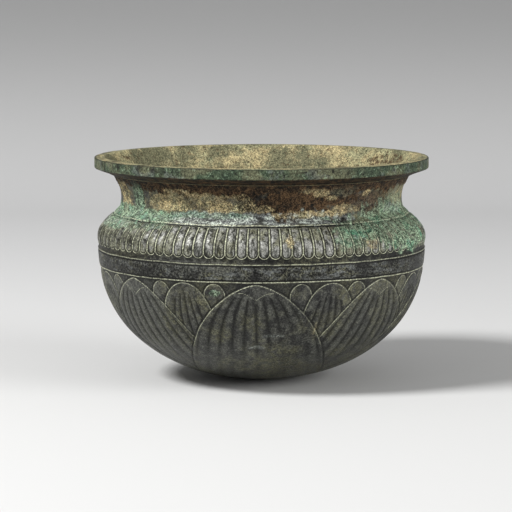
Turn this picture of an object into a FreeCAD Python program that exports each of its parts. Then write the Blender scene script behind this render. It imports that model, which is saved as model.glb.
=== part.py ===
# Bronze bowl with a lotus calyx, modelled in millimetres.
# The bowl stands on the XY plane with its axis on Z, and its front faces -Y.
import FreeCAD, Part
import Sketcher
import math
import os

doc = FreeCAD.newDocument("bronze_bowl")

# Driving dimensions: lengths in millimetres, angles in degrees, and plain counts and exponents

SIZES = [
    # overall form
    ("bowl_height", 99.7),
    ("foot_radius", 9.0),
    ("belly_radius", 73.7),
    ("neck_inset", 10.65),
    ("neck_flare", 3.75),
    ("lip_flare", 5.6),
    ("wall_thickness", 2.0),
    ("floor_thickness", 2.4),
    ("inside_floor_radius", 5.0),
    # heights as shares of the way up: floor to top, belly to rim, and shoulder to rim
    ("belly_height_share", 0.6465),
    ("shoulder_height_share", 0.4835),
    ("waist_height_share", 0.2695),
    # exponents that set how full the rounded outlines are
    ("side_fullness", 2.07),
    ("depth_fullness", 2.42),
    ("shoulder_fullness", 1.35),
    # straight chords and flats that follow the rounded outlines
    ("round_flats", 48),
    ("lower_chords", 8),
    ("shoulder_chords", 3),
    ("neck_chords", 3),
    ("inside_chords", 8),
    # rim ring, and the solder that holds it
    ("rim_overhang", 2.6),
    ("rim_band_height", 4.8),
    ("rim_depth", 7.7),
    ("rim_edge", 0.5),
    ("rim_seam_gap", 0.3),
    ("rim_seam_angle", -66.5),
    ("solder_film", 0.2),
    # ruled lines round the body, as shares of the way down from the belly to the floor
    ("upper_line_drop_share", 0.0906),
    ("lower_line_drop_share", 0.1984),
    ("line_width", 0.9),
    ("line_depth", 0.45),
    ("fillet_width", 0.6),
    # ring of tongues on the shoulder, with their top as a share of the way from the belly to the shoulder
    ("tongue_count", 96),
    ("tongue_top_share", 0.7576),
    ("tongue_end_height", 2.5),
    ("tongue_foot_gap", 1.05),
    ("tongue_relief", 0.75),
    ("tongue_set_back", 0.15),
    # lotus petals, in three ranks, with their feet as shares of the height of their tips
    ("petal_count", 8),
    ("petal_phase", -2.0),
    ("petal_tip_gap", 0.15),
    ("petal_gap", 0.4),
    ("petal_relief", 0.6),
    ("rib_depth", 0.5),
    ("large_petal_ribs", 5),
    ("large_petal_roundness", 0.6),
    ("large_petal_arch", 22.2),
    ("large_petal_foot_share", 0.21),
    ("middle_petal_ribs", 3),
    ("middle_petal_roundness", 0.45),
    ("middle_petal_width", 24.0),
    ("middle_petal_arch", 13.2),
    ("middle_petal_foot_share", 0.5),
    ("middle_petal_set_back", 0.2),
    ("small_petal_ribs", 1),
    ("small_petal_roundness", 0.5),
    ("small_petal_width", 10.0),
    ("small_petal_arch", 5.6),
    ("small_petal_foot_share", 0.69),
    ("small_petal_set_back", 0.3),
    ("small_petal_angle", 13.5),
    # depth to which a relief piece is rooted in the wall
    ("relief_root", 0.8),
]

sheet = doc.addObject("Spreadsheet::Sheet", "sizes")
for row, (alias, number) in enumerate(SIZES, start=1):
    sheet.set("A%d" % row, alias)
    sheet.set("B%d" % row, str(number))
    sheet.setAlias("B%d" % row, alias)
doc.recompute()


def size(alias):
    return float(sheet.get(alias))


def count(alias):
    return int(round(size(alias)))


# Sums of named sizes; a leading minus sign takes a size away

WAIST_RADIUS = ["belly_radius", "-neck_inset"]
NECK_TOP_RADIUS = WAIST_RADIUS + ["neck_flare"]
LIP_RADIUS = NECK_TOP_RADIUS + ["lip_flare"]
RIM_RADIUS = LIP_RADIUS + ["rim_overhang"]
TOP_HEIGHT = ["bowl_height"]
RIM_FOOT_HEIGHT = TOP_HEIGHT + ["-rim_depth"]


def total(terms):
    return sum(-size(term[1:]) if term.startswith("-") else size(term) for term in terms)


def total_in_sheet(terms):
    """The same sum, written for the sheet."""
    signed = ["- sizes." + term[1:] if term.startswith("-") else "+ sizes." + term for term in terms]
    return " ".join(signed).lstrip("+ ")


# Heights that follow from the sizes

def share_of_way(start, end, share):
    return start + (end - start) * share


FLOOR = 0.0
TOP = total(TOP_HEIGHT)
RIM_FOOT = total(RIM_FOOT_HEIGHT)
BELLY_HEIGHT = share_of_way(FLOOR, TOP, size("belly_height_share"))
SHOULDER_HEIGHT = share_of_way(BELLY_HEIGHT, RIM_FOOT, size("shoulder_height_share"))
WAIST_HEIGHT = share_of_way(SHOULDER_HEIGHT, RIM_FOOT, size("waist_height_share"))
HALF_LINE = size("line_width") / 2.0
UPPER_LINE = share_of_way(BELLY_HEIGHT, FLOOR, size("upper_line_drop_share"))
LOWER_LINE = share_of_way(BELLY_HEIGHT, FLOOR, size("lower_line_drop_share"))
TONGUE_STEP = UPPER_LINE + HALF_LINE + size("fillet_width")
TONGUE_FOOT = TONGUE_STEP + size("tongue_foot_gap")
TONGUE_CUSP = TONGUE_FOOT + size("tongue_end_height")
TONGUE_TOP = share_of_way(BELLY_HEIGHT, SHOULDER_HEIGHT, size("tongue_top_share"))
PETAL_STEP = LOWER_LINE - HALF_LINE - size("fillet_width")
PETAL_TIP = PETAL_STEP - size("petal_tip_gap")


# Outlines of the bowl, as formulas in the named sizes

FULL_TURN = 360.0
QUARTER_TURN = math.pi / 2.0


class Outline:
    """One skin of the bowl, lying a steady inset within the outermost surface."""

    def __init__(self, inset, floor):
        self.inset = inset
        self.belly = size("belly_radius") - inset
        foot_share = size("foot_radius") / size("belly_radius")
        depth = (1.0 - foot_share ** size("side_fullness")) ** (1.0 / size("depth_fullness"))
        self.reach = (BELLY_HEIGHT - floor) / depth

    def lower(self, height):
        drop = (BELLY_HEIGHT - height) / self.reach
        return self.belly * (1.0 - drop ** size("depth_fullness")) ** (1.0 / size("side_fullness"))

    def lower_height(self, radius):
        share = radius / self.belly
        drop = (1.0 - share ** size("side_fullness")) ** (1.0 / size("depth_fullness"))
        return BELLY_HEIGHT - self.reach * drop

    def shoulder(self, height):
        root = self.neck(SHOULDER_HEIGHT)
        rise = (height - BELLY_HEIGHT) / (SHOULDER_HEIGHT - BELLY_HEIGHT)
        return root + (self.belly - root) * (1.0 - rise * rise) ** size("shoulder_fullness")

    def neck(self, height):
        rise = (height - WAIST_HEIGHT) / (RIM_FOOT - WAIST_HEIGHT)
        return total(WAIST_RADIUS) + size("neck_flare") * rise * rise - self.inset

    def radius(self, height):
        if height <= BELLY_HEIGHT:
            return self.lower(height)
        if height <= SHOULDER_HEIGHT:
            return self.shoulder(height)
        return self.neck(height)


def spread(start, end, steps):
    """Evenly spaced values from start to end, both included."""
    return [share_of_way(start, end, step / steps) for step in range(steps + 1)]


def rounding_shares(steps):
    """Shares from 0 to 1 that crowd towards 1, as the sines of a quarter turn do."""
    return [math.sin(angle) for angle in spread(0.0, QUARTER_TURN, steps)]


def skin_points(skin, lowest, highest, shares):
    """Points (radius, height) of a skin at shares of the way from lowest to highest."""
    heights = [share_of_way(lowest, highest, share) for share in shares]
    return [(skin.radius(height), height) for height in heights]


def lower_points(skin, start_radius, top_height, steps):
    """Points of the lower body, from a radius near the base up to top_height."""
    end_radius = skin.radius(top_height)
    radii = [share_of_way(start_radius, end_radius, share) for share in rounding_shares(steps)]
    return [(radius, skin.lower_height(radius)) for radius in radii[:-1]] + [(end_radius, top_height)]


def radius_on(points, height):
    """Radius at a height on the straight chords between points."""
    for (low_radius, low), (high_radius, high) in zip(points, points[1:]):
        if low <= height <= high:
            return share_of_way(low_radius, high_radius, (height - low) / (high - low))
    return points[-1][0]


OUTER = Outline(0.0, FLOOR)
PETAL_GROUND = lower_points(
    Outline(size("petal_relief"), FLOOR), size("foot_radius"), PETAL_STEP, count("lower_chords"))
TONGUE_GROUND = Outline(size("tongue_relief"), FLOOR)


# Solids with flat faces, stacked up from rings of points

FLATNESS_SHARE = 1e-7


def polar(radius, angle, height):
    """Point at an angle in degrees from the front of the bowl, turning towards +X."""
    turn = math.radians(angle)
    return FreeCAD.Vector(radius * math.sin(turn), -radius * math.cos(turn), height)


def ring(radius, height):
    """Ring of points round the whole bowl."""
    angles = spread(0.0, FULL_TURN, count("round_flats"))[:-1]
    return [polar(radius, angle, height) for angle in angles]


def facet(corners):
    return Part.Face(Part.makePolygon(corners + corners[:1]))


def is_flat(corners):
    first, second, third, fourth = corners
    normal = (second - first).cross(third - first)
    return abs(normal.dot(fourth - first)) <= FLATNESS_SHARE * normal.Length * size("belly_radius")


def skin_between(lower, upper):
    """Flat faces that join two rings of points one by one."""
    faces = []
    for index in range(len(lower)):
        corners = [lower[index - 1], lower[index], upper[index], upper[index - 1]]
        if is_flat(corners):
            faces.append(facet(corners))
        else:
            faces.append(facet(corners[:3]))
            faces.append(facet([corners[0], corners[2], corners[3]]))
    return faces


def stacked(sections):
    """Solid whose skin runs through rings of points and is closed at both ends."""
    faces = [facet(sections[0]), facet(sections[-1])]
    for lower, upper in zip(sections, sections[1:]):
        faces += skin_between(lower, upper)
    solid = Part.makeSolid(Part.makeShell(faces))
    if solid.Volume < 0.0:
        solid.reverse()
    return solid


def round_the_axis(shape, number, first_angle):
    """Copies of a shape spaced evenly round the axis."""
    copies = []
    for angle in spread(first_angle, first_angle + FULL_TURN, number)[:-1]:
        copy = shape.copy()
        copy.rotate(FreeCAD.Vector(), FreeCAD.Vector(0.0, 0.0, 1.0), angle)
        copies.append(copy)
    return copies


def degrees_at_belly(length):
    """Angle that a length takes up round the belly."""
    return math.degrees(length / size("belly_radius"))


def add_shape(name, shape):
    feature = doc.addObject("Part::Feature", name)
    feature.Shape = shape
    feature.Label = name
    return feature


# Blank: the outside of the bowl before its relief, solid to the axis

def ruled_line(height):
    """V-shaped groove chased round the body."""
    low, high = height - HALF_LINE, height + HALF_LINE
    bottom = OUTER.radius(height) - size("line_depth")
    return [(OUTER.radius(low), low), (bottom, height), (OUTER.radius(high), high)]


def lower_points_of_blank():
    points = [(size("foot_radius"), FLOOR)] + PETAL_GROUND[1:]
    points += [(OUTER.radius(PETAL_STEP), PETAL_STEP)]
    points += ruled_line(LOWER_LINE) + ruled_line(UPPER_LINE)
    points += [(OUTER.radius(TONGUE_STEP), TONGUE_STEP)]
    return points + skin_points(TONGUE_GROUND, TONGUE_STEP, TONGUE_CUSP, [0.0, 1.0])


def upper_points_of_blank():
    points = skin_points(OUTER, TONGUE_TOP, SHOULDER_HEIGHT, [0.0, 1.0])
    neck_shares = spread(0.0, 1.0, count("neck_chords"))
    points += skin_points(OUTER, SHOULDER_HEIGHT, RIM_FOOT, neck_shares)[1:]
    return points + [(total(LIP_RADIUS), TOP)]


blank_below = add_shape("blank_below", stacked([ring(*point) for point in lower_points_of_blank()]))
blank_above = add_shape("blank_above", stacked([ring(*point) for point in upper_points_of_blank()]))


# Tongues: convex lobes that hang side by side from the line under the neck

TONGUE_PITCH = FULL_TURN / count("tongue_count")
TONGUE_CREST_SHARE = 0.45
TONGUE_END_WIDTH_SHARE = 0.98
TONGUE_END_SHARES = [0.12, 1.0]


def tongue_front(height, middle_angle, half_angle, root):
    """Across a tongue, from its left foot over the crest; what lies on its right closes it."""
    crest = OUTER.radius(height) - size("tongue_set_back")
    side = half_angle * TONGUE_CREST_SHARE
    return [
        polar(root, middle_angle - half_angle, height),
        polar(crest, middle_angle - side, height),
        polar(crest, middle_angle + side, height),
    ]


def tongue_band():
    """The shoulder where the tongues stand side by side with a valley between them."""
    sections = []
    for height in spread(TONGUE_CUSP, TONGUE_TOP, count("shoulder_chords")):
        valley = TONGUE_GROUND.radius(height)
        section = []
        for index in range(count("tongue_count")):
            section += tongue_front(height, (index + 0.5) * TONGUE_PITCH, TONGUE_PITCH / 2.0, valley)
        sections.append(section)
    return stacked(sections)


def tongue_end():
    """Rounded lower end of one tongue, rooted in the shoulder."""
    sections = []
    for share in TONGUE_END_SHARES:
        height = share_of_way(TONGUE_FOOT, TONGUE_CUSP, share)
        half_angle = TONGUE_PITCH / 2.0 * math.sqrt(share * (2.0 - share))
        root = TONGUE_GROUND.radius(height) - size("relief_root")
        front = tongue_front(height, 0.0, half_angle * TONGUE_END_WIDTH_SHARE, root)
        sections.append(front + [polar(root, half_angle * TONGUE_END_WIDTH_SHARE, height)])
    return stacked(sections)


tongues = add_shape("tongues", tongue_band())
tongue_ends = add_shape("tongue_ends", Part.makeCompound(
    round_the_axis(tongue_end(), count("tongue_count"), TONGUE_PITCH / 2.0)))


# Petals: ribbed leaves that rise from the base in three ranks, the large ones in front

BACK_SHARES = [1.0, 0.5, 0.0, -0.5, -1.0]
RIB_START_SHARE = 0.25
RIB_FULL_SHARE = 0.55
ARCH_SHARES = [0.02, 0.13]


def petal_section(rank, height, half_angle, crest, groove_depth):
    """Ring of points across a petal: its ribbed front, then its back inside the wall."""
    steps = 2 * count(rank + "_petal_ribs")
    front = []
    for step, share in enumerate(spread(-1.0, 1.0, steps)):
        is_groove = step % 2 == 0 and 0 < step < steps
        front.append(polar(crest - (groove_depth if is_groove else 0.0), half_angle * share, height))
    root = radius_on(PETAL_GROUND, height) - size("relief_root")
    return front + [polar(root, half_angle * share, height) for share in BACK_SHARES]


def petal(rank, width_angle, set_back):
    """A leaf that widens from its rounded tip down to its shoulder, and is even below it."""
    arch_height = size(rank + "_petal_arch")
    shoulder = PETAL_TIP - arch_height
    arch = [PETAL_TIP - arch_height * share for share in ARCH_SHARES]
    lowest_foot = share_of_way(FLOOR, PETAL_TIP, size(rank + "_petal_foot_share"))
    foot = max(height for radius, height in PETAL_GROUND[:-1] if height <= lowest_foot)
    chords = [height for radius, height in PETAL_GROUND if foot <= height < min(arch)]
    sections = []
    for height in chords + arch[::-1]:
        drop = (PETAL_TIP - height) / arch_height
        half_angle = width_angle / 2.0 * min(1.0, drop) ** size(rank + "_petal_roundness")
        below_tip = (drop - RIB_START_SHARE) / (RIB_FULL_SHARE - RIB_START_SHARE)
        above_foot = (height - foot) / (shoulder - foot)
        groove_depth = size("rib_depth") * max(0.0, min(1.0, below_tip, above_foot))
        crest = OUTER.radius(height) - set_back
        sections.append(petal_section(rank, height, half_angle, crest, groove_depth))
    return stacked(sections)


petal_pitch = FULL_TURN / count("petal_count")
large = petal("large", petal_pitch - degrees_at_belly(size("petal_gap")), 0.0)
middle = petal("middle", degrees_at_belly(size("middle_petal_width")), size("middle_petal_set_back"))
small = petal("small", degrees_at_belly(size("small_petal_width")), size("small_petal_set_back"))

first_petal = size("petal_phase")
large_petals = add_shape("large_petals", Part.makeCompound(
    round_the_axis(large, count("petal_count"), first_petal)))
middle_petals = add_shape("middle_petals", Part.makeCompound(
    round_the_axis(middle, count("petal_count"), first_petal + petal_pitch / 2.0)))
small_petals = add_shape("small_petals", Part.makeCompound(
    round_the_axis(small, count("petal_count"), first_petal - size("small_petal_angle"))
    + round_the_axis(small, count("petal_count"), first_petal + size("small_petal_angle"))))


# Inside of the bowl, open at the lip

def cavity_points():
    inside = Outline(size("wall_thickness"), size("floor_thickness"))
    points = lower_points(
        inside, size("inside_floor_radius"), BELLY_HEIGHT, count("inside_chords"))
    shoulder_shares = rounding_shares(count("shoulder_chords"))
    points += skin_points(inside, BELLY_HEIGHT, SHOULDER_HEIGHT, shoulder_shares)[1:]
    neck_shares = spread(0.0, 1.0, count("neck_chords"))
    points += skin_points(inside, SHOULDER_HEIGHT, RIM_FOOT, neck_shares)[1:]
    return points + [(total(LIP_RADIUS) - size("wall_thickness"), TOP)]


cavity = add_shape("cavity", stacked([ring(radius, height) for radius, height in cavity_points()]))


# Bowl body: blank, petals and tongues are one sheet of bronze, hollowed by the cavity

outside = blank_below.Shape.multiFuse([piece.Shape for piece in (
    blank_above, tongues, tongue_ends, small_petals, middle_petals, large_petals)])
bowl_body = add_shape("bowl_body", outside.cut(cavity.Shape))


# Rim ring and its solder: strips of even section bent round the flared lip

def origin_plane(body, role):
    for feature in body.Origin.OriginFeatures:
        if feature.Role == role:
            return feature
    raise RuntimeError("no origin plane " + role)


def bind(sketch, constraint, expression):
    index = sketch.addConstraint(constraint)
    sketch.setExpression("Constraints[%d]" % index, expression)


def bent_strip(name, corners):
    """Strip of even section bent round the lip, with its two ends butted at the seam."""
    body = doc.addObject("PartDesign::Body", name)
    body.Label = name
    section = body.newObject("Sketcher::SketchObject", name + "_section")
    section.AttachmentSupport = [(origin_plane(body, "XZ_Plane"), "")]
    section.MapMode = "FlatFace"
    places = [FreeCAD.Vector(total(radius), total(height), 0.0) for radius, height in corners]
    for start, end in zip(places, places[1:] + places[:1]):
        section.addGeometry(Part.LineSegment(start, end), False)
    for index, (radius, height) in enumerate(corners):
        following = (index + 1) % len(corners)
        section.addConstraint(Sketcher.Constraint("Coincident", index, 2, following, 1))
        across = Sketcher.Constraint("DistanceX", -1, 1, index, 1, total(radius))
        bind(section, across, total_in_sheet(radius))
        upright = Sketcher.Constraint("DistanceY", -1, 1, index, 1, total(height))
        bind(section, upright, total_in_sheet(height))
    bend = body.newObject("PartDesign::Revolution", name + "_bend")
    bend.Profile = section
    bend.ReferenceAxis = (section, ["V_Axis"])
    bend.setExpression(
        "Angle", "360 - 360 * sizes.rim_seam_gap / (2 * pi * (" + total_in_sheet(RIM_RADIUS) + "))")
    body.Tip = bend
    body.setExpression("Placement.Rotation.Angle", "sizes.rim_seam_angle - 90")
    return body


SEAT_FOOT = (NECK_TOP_RADIUS, RIM_FOOT_HEIGHT)
SEAT_TOP = (LIP_RADIUS, TOP_HEIGHT)
FILM_FOOT = (NECK_TOP_RADIUS + ["solder_film"], RIM_FOOT_HEIGHT)
FILM_TOP = (LIP_RADIUS + ["solder_film"], TOP_HEIGHT)

rim_solder = bent_strip("rim_solder", [SEAT_FOOT, FILM_FOOT, FILM_TOP, SEAT_TOP])
rim_ring = bent_strip("rim_ring", [
    FILM_FOOT,
    (RIM_RADIUS, TOP_HEIGHT + ["-rim_band_height"]),
    (RIM_RADIUS, TOP_HEIGHT + ["-rim_edge"]),
    (RIM_RADIUS + ["-rim_edge"], TOP_HEIGHT),
    FILM_TOP,
])


# Check every object, then write one file for each sub-part

doc.recompute()
SUB_PARTS = [bowl_body, rim_ring, rim_solder]

for feature in doc.Objects:
    if {"Invalid", "Error"} & set(feature.State):
        raise RuntimeError(feature.Name + " could not be worked out")
for sub_part in SUB_PARTS:
    if sub_part.Shape.isNull() or not sub_part.Shape.isValid() or len(sub_part.Shape.Solids) != 1:
        raise RuntimeError(sub_part.Label + " is not one sound solid")

os.makedirs("parts", exist_ok=True)
for sub_part in SUB_PARTS:
    sub_part.Shape.exportStep("parts/" + sub_part.Label + ".step")
    print(sub_part.Label, "volume %.0f mm3" % sub_part.Shape.Volume)
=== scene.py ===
"""Bronze bowl with a lotus calyx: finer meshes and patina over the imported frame, in a plain studio."""
import math
from typing import NamedTuple

import bpy
import numpy as np
from bpy.props import FloatProperty, FloatVectorProperty, IntProperty, PointerProperty
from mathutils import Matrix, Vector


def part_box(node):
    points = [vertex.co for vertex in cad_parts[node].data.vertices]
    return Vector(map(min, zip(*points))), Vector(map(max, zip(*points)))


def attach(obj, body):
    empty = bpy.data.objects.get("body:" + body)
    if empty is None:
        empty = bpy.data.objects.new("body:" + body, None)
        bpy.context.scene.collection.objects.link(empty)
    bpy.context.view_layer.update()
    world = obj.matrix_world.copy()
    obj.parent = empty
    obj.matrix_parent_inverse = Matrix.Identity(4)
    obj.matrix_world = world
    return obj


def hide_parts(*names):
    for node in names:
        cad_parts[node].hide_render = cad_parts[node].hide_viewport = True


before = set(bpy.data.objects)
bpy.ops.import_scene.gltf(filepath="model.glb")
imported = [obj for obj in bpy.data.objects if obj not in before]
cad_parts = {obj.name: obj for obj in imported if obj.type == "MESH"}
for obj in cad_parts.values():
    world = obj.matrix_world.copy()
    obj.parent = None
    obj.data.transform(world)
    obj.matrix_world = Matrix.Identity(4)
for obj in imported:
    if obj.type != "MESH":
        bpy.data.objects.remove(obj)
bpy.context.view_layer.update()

bl_info = {
    "name": "Lotus Bowl",
    "version": (1, 0, 0),
    "blender": (4, 5, 0),
    "location": "3D View > Sidebar > Lotus Bowl",
    "description": "Builds a chased bronze bowl with its rim ring, its patina and a studio stage",
    "category": "Add Mesh",
}

MM = 0.001
BODY_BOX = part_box("bowl_body")
RIM_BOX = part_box("rim_ring")
FULL_TURN = 360.0


# Settings that a user can change

def number(name, description, default, **limits):
    return FloatProperty(name=name, description=description, default=default, **limits)


def length(name, description, default):
    return number(name, description, default, min=0.0, unit="LENGTH", precision=5)


def tint(name, description, *screen_values):
    """A colour given in the usual 0 to 255 values of a screen, kept as a linear one."""
    shares = [value / 255.0 for value in screen_values]
    linear = [share / 12.92 if share <= 0.04045 else ((share + 0.055) / 1.055) ** 2.4
              for share in shares]
    return FloatVectorProperty(
        name=name, description=description, default=linear, min=0.0, max=1.0, size=3, subtype="COLOR")


class BowlSizes(bpy.types.PropertyGroup):
    """Sizes of the bowl; those of the whole form come from the frame."""
    height: length("Height", "From the floor to the top of the rim", BODY_BOX[1][2])
    belly_radius: length("Belly radius", "Widest radius of the body", BODY_BOX[1][0])
    rim_radius: length("Rim radius", "Outer radius of the rim ring", RIM_BOX[1][0])
    rim_depth: length(
        "Rim depth", "From the top of the rim to the foot of the ring", RIM_BOX[1][2] - RIM_BOX[0][2])
    foot_radius: length("Foot radius", "Radius of the worn flat under the bowl", 0.009)
    wall: length("Wall", "Thickness of the wall", 0.002)
    tongue_count: IntProperty(
        name="Tongues", description="Tongues round the shoulder", default=96, min=12)
    columns_per_tongue: IntProperty(
        name="Columns per tongue", description="Mesh columns across one tongue", default=14, min=8)
    relief: length("Relief", "How far the ground lies below the chased petals", 0.00045)
    rib_depth: length("Rib depth", "Depth of the valleys between the ribs of a petal", 0.00034)


class BowlTints(bpy.types.PropertyGroup):
    """Colours of the bronze and of what has grown on it."""
    dark_bronze: tint("Dark bronze", "Charcoal skin of the lower body", 45, 45, 44)
    grey_bronze: tint("Grey bronze", "Lighter grey of the worn skin", 90, 91, 85)
    bright_bronze: tint("Bright bronze", "Rubbed metal on the tongues", 148, 148, 143)
    olive_film: tint("Olive film", "Thin olive film on the body", 102, 101, 78)
    line_fill: tint("Line fill", "Pale earth left in the chased lines", 184, 186, 160)
    # Hollow paints the shade in the grooves beside the chased lines and under the rim and the shadow
    # beside the petals, as well as dirt, nicks, pits and the darker valleys
    hollow: tint("Hollow", "Dark dirt beside lines and in valleys", 17, 17, 14)
    verdigris: tint("Verdigris", "Pale green corrosion", 140, 160, 134)
    turquoise: tint("Turquoise", "Blue green corrosion", 76, 136, 108)
    deep_green: tint("Deep green", "Dark green corrosion", 52, 66, 51)
    earth: tint("Earth", "Ochre earth crust", 176, 160, 120)
    brown_earth: tint("Brown earth", "Dark brown earth crust", 74, 57, 39)
    pale_film: tint("Pale film", "Cool pale film on the shoulder", 166, 173, 164)
    blue_grey: tint("Blue grey", "Blue grey stains in the pale film", 104, 107, 106)
    tongue_dust: tint("Tongue dust", "Grey olive dust on some of the tongues", 128, 129, 109)
    inside_olive: tint("Inside olive", "Olive crust inside the bowl", 148, 145, 112)
    rim_green: tint("Rim green", "Grey green of the rim band", 70, 81, 62)


class StageLook(bpy.types.PropertyGroup):
    """Floor, backdrop, lamps and camera."""
    # The far floor and the backdrop are painted shade: the floor greys a little towards the back and the
    # sweep turns grey as it rises, for the light falling off there
    floor: tint("Floor", "Pale floor", 227, 227, 226)
    far_floor: tint("Far floor", "Floor behind the bowl, and foot of the backdrop", 224, 224, 224)
    backdrop: tint("Backdrop", "Grey of the backdrop above the floor", 157, 157, 157)
    camera_distance: length("Camera distance", "From the bowl's axis to the camera", 1.2)
    camera_height: length("Camera height", "Height of the camera above the floor", 0.19218)
    camera_lens: number("Lens", "Focal length", 188.67, unit="CAMERA")
    key_power: number("Key power", "Power of the soft lamp on the left", 29.5, unit="POWER")
    fill_power: number("Fill power", "Power of the low lamp on the right", 20.0, unit="POWER")
    sky: number(
        "Sky", "Strength of the even light from all round", 0.3, min=0.0, max=1.0, subtype="FACTOR")


# Random fields, the same in each run

TABLE_SIZE = 64
LAYERS = range(3)
LAYER_FADE = 1.7


def grain(points, size, seed):
    """Smooth random field from -1 to 1, with bumps about as wide as size."""
    shape = (TABLE_SIZE, TABLE_SIZE, TABLE_SIZE)
    table = np.random.default_rng(seed).uniform(-1.0, 1.0, shape).astype(np.float32)
    places = points / size
    cells = np.floor(places).astype(np.int64)
    inside = (places - cells).astype(np.float32)
    inside = inside * inside * (3.0 - 2.0 * inside)
    total = 0.0
    for corner in np.ndindex(2, 2, 2):
        weight = np.prod(np.where(corner, inside, 1.0 - inside), axis=-1)
        index = (cells + corner) % TABLE_SIZE
        total = total + weight * table[index[..., 0], index[..., 1], index[..., 2]]
    return total


def layered(points, size, seed):
    """Random field with finer and weaker bumps on its coarse ones."""
    total = sum(grain(points, size / 2.0 ** layer, seed + layer) / LAYER_FADE ** layer
                for layer in LAYERS)
    return total / sum(1.0 / LAYER_FADE ** layer for layer in LAYERS)


def smooth(low, high, values):
    """0 below low, 1 above high and an even S between them; low may be the larger."""
    step = np.clip((values - low) / (high - low), 0.0, 1.0)
    return step * step * (3.0 - 2.0 * step)


def stroke(distance, width):
    """1 on a line, fading to 0 at about its width on either side."""
    return np.exp(-(distance / width) ** 2)


# Outline of the body, in millimetres, with the same shares as the frame's source

BELLY_SHARE = 0.6465
SHOULDER_SHARE = 0.4835
WAIST_SHARE = 0.2695
TONGUE_TOP_SHARE = 0.7576
UPPER_LINE_SHARE = 0.0906
LOWER_LINE_SHARE = 0.1984
SIDE_FULLNESS = 2.07
DEPTH_FULLNESS = 2.42
SHOULDER_FULLNESS = 1.35
NECK_INSET = 10.65
NECK_FLARE = 3.75
LIP_FLARE = 5.6
INSIDE_FLOOR = 2.4
WALL_SAMPLES = 4001


def between(start, end, part):
    """What lies part of the way from start to end."""
    return start + (end - start) * part


class Outline:
    """Outline of the bowl at a steady inset from its outermost skin."""

    def __init__(self, sizes, inset=0.0, floor=0.0):
        self.top = sizes.height / MM
        self.rim_foot = self.top - sizes.rim_depth / MM
        self.belly_height = self.top * BELLY_SHARE
        self.shoulder_height = between(self.belly_height, self.rim_foot, SHOULDER_SHARE)
        self.waist_height = between(self.shoulder_height, self.rim_foot, WAIST_SHARE)
        self.tongue_top = between(self.belly_height, self.shoulder_height, TONGUE_TOP_SHARE)
        self.upper_line = self.belly_height * (1.0 - UPPER_LINE_SHARE)
        self.lower_line = self.belly_height * (1.0 - LOWER_LINE_SHARE)
        self.belly = sizes.belly_radius / MM - inset
        self.waist = sizes.belly_radius / MM - NECK_INSET - inset
        self.lip = self.waist + NECK_FLARE + LIP_FLARE
        foot_share = sizes.foot_radius / sizes.belly_radius
        depth = (1.0 - foot_share ** SIDE_FULLNESS) ** (1.0 / DEPTH_FULLNESS)
        self.reach = (self.belly_height - floor) / depth

    def neck(self, height):
        rise = (height - self.waist_height) / (self.rim_foot - self.waist_height)
        return self.waist + NECK_FLARE * rise ** 2

    def radius(self, height):
        height = np.asarray(height, dtype=float)
        drop = np.clip((self.belly_height - height) / self.reach, 0.0, 1.0)
        lower = self.belly * (1.0 - drop ** DEPTH_FULLNESS) ** (1.0 / SIDE_FULLNESS)
        root = self.neck(self.shoulder_height)
        span = self.shoulder_height - self.belly_height
        rise = np.clip((height - self.belly_height) / span, 0.0, 1.0)
        shoulder = root + (self.belly - root) * (1.0 - rise ** 2) ** SHOULDER_FULLNESS
        flare = (height - self.rim_foot) / (self.top - self.rim_foot)
        lip = between(self.waist + NECK_FLARE, self.lip, flare)
        return np.select(
            [height <= self.belly_height, height <= self.shoulder_height, height <= self.rim_foot],
            [lower, shoulder, self.neck(height)], lip)

    def wall(self, low, high, spacing):
        """Points (radius, height) up the wall, evenly spaced along it."""
        heights = between(low, high, np.linspace(0.0, 1.0, WALL_SAMPLES) ** 2)
        radii = self.radius(heights)
        travel = np.concatenate([[0.0], np.cumsum(np.hypot(np.diff(radii), np.diff(heights)))])
        stops = np.linspace(0.0, travel[-1], max(2, int(round(travel[-1] / spacing)) + 1))
        return np.stack([np.interp(stops, travel, radii), np.interp(stops, travel, heights)], axis=1)


# Relief of the outside, in millimetres above the outermost skin

TONGUE_PHASE = 0.9
TONGUE_FOOT = 2.7
TONGUE_END_HEIGHT = 2.3
# Places of each line, as shares of the way from a tongue's axis to its outline
LOBE_EDGE = 0.68
INNER_GROOVE = 0.79
OUTLINE_RIDGE = 0.94
OUTSIDE_TONGUE = 1.6
# Heights of the parts of a tongue above the skin
TONGUE_FLOOR = -0.3
LOBE_RISE = 0.42
GROOVE_DEPTH = 0.2
RIDGE_RISE = 0.16
GAP_DEPTH = 0.1
LINE_DEPTH = 0.32
LINE_WIDTH = 0.4
PETAL_TIP_DROP = 1.2
# Rank, half width, arch, fullness, level and drop of the inner arch
SMALL_PETAL = ("small", 5.0, 6.0, 2.0, -0.28, 0.0)
MIDDLE_PETAL = ("middle", 11.9, 16.0, 2.0, -0.16, 3.6)
LOW_LARGE_PETAL = ("large", 26.5, 38.0, 1.52, -0.08, 7.1)
HIGH_LARGE_PETAL = ("large", 30.0, 38.0, 1.52, 0.0, 7.1)
LARGE_ANGLES = [-50.0, -1.95, 45.8, 89.0, 133.0, 178.0, 222.0, 266.0]
SMALL_SHARES = [0.30, 0.745]
MIDDLE_SHARE = 0.51
MIDDLE_ANGLES = {-50.0: -27.5, -1.95: 24.7}
SMALL_ANGLES = {-50.0: (-37.2, -16.4), -1.95: (13.7, 35.0)}


def turned(angle, middle):
    """Angle from middle, between -180 and 180 degrees."""
    return (angle - middle + FULL_TURN / 2.0) % FULL_TURN - FULL_TURN / 2.0


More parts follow.
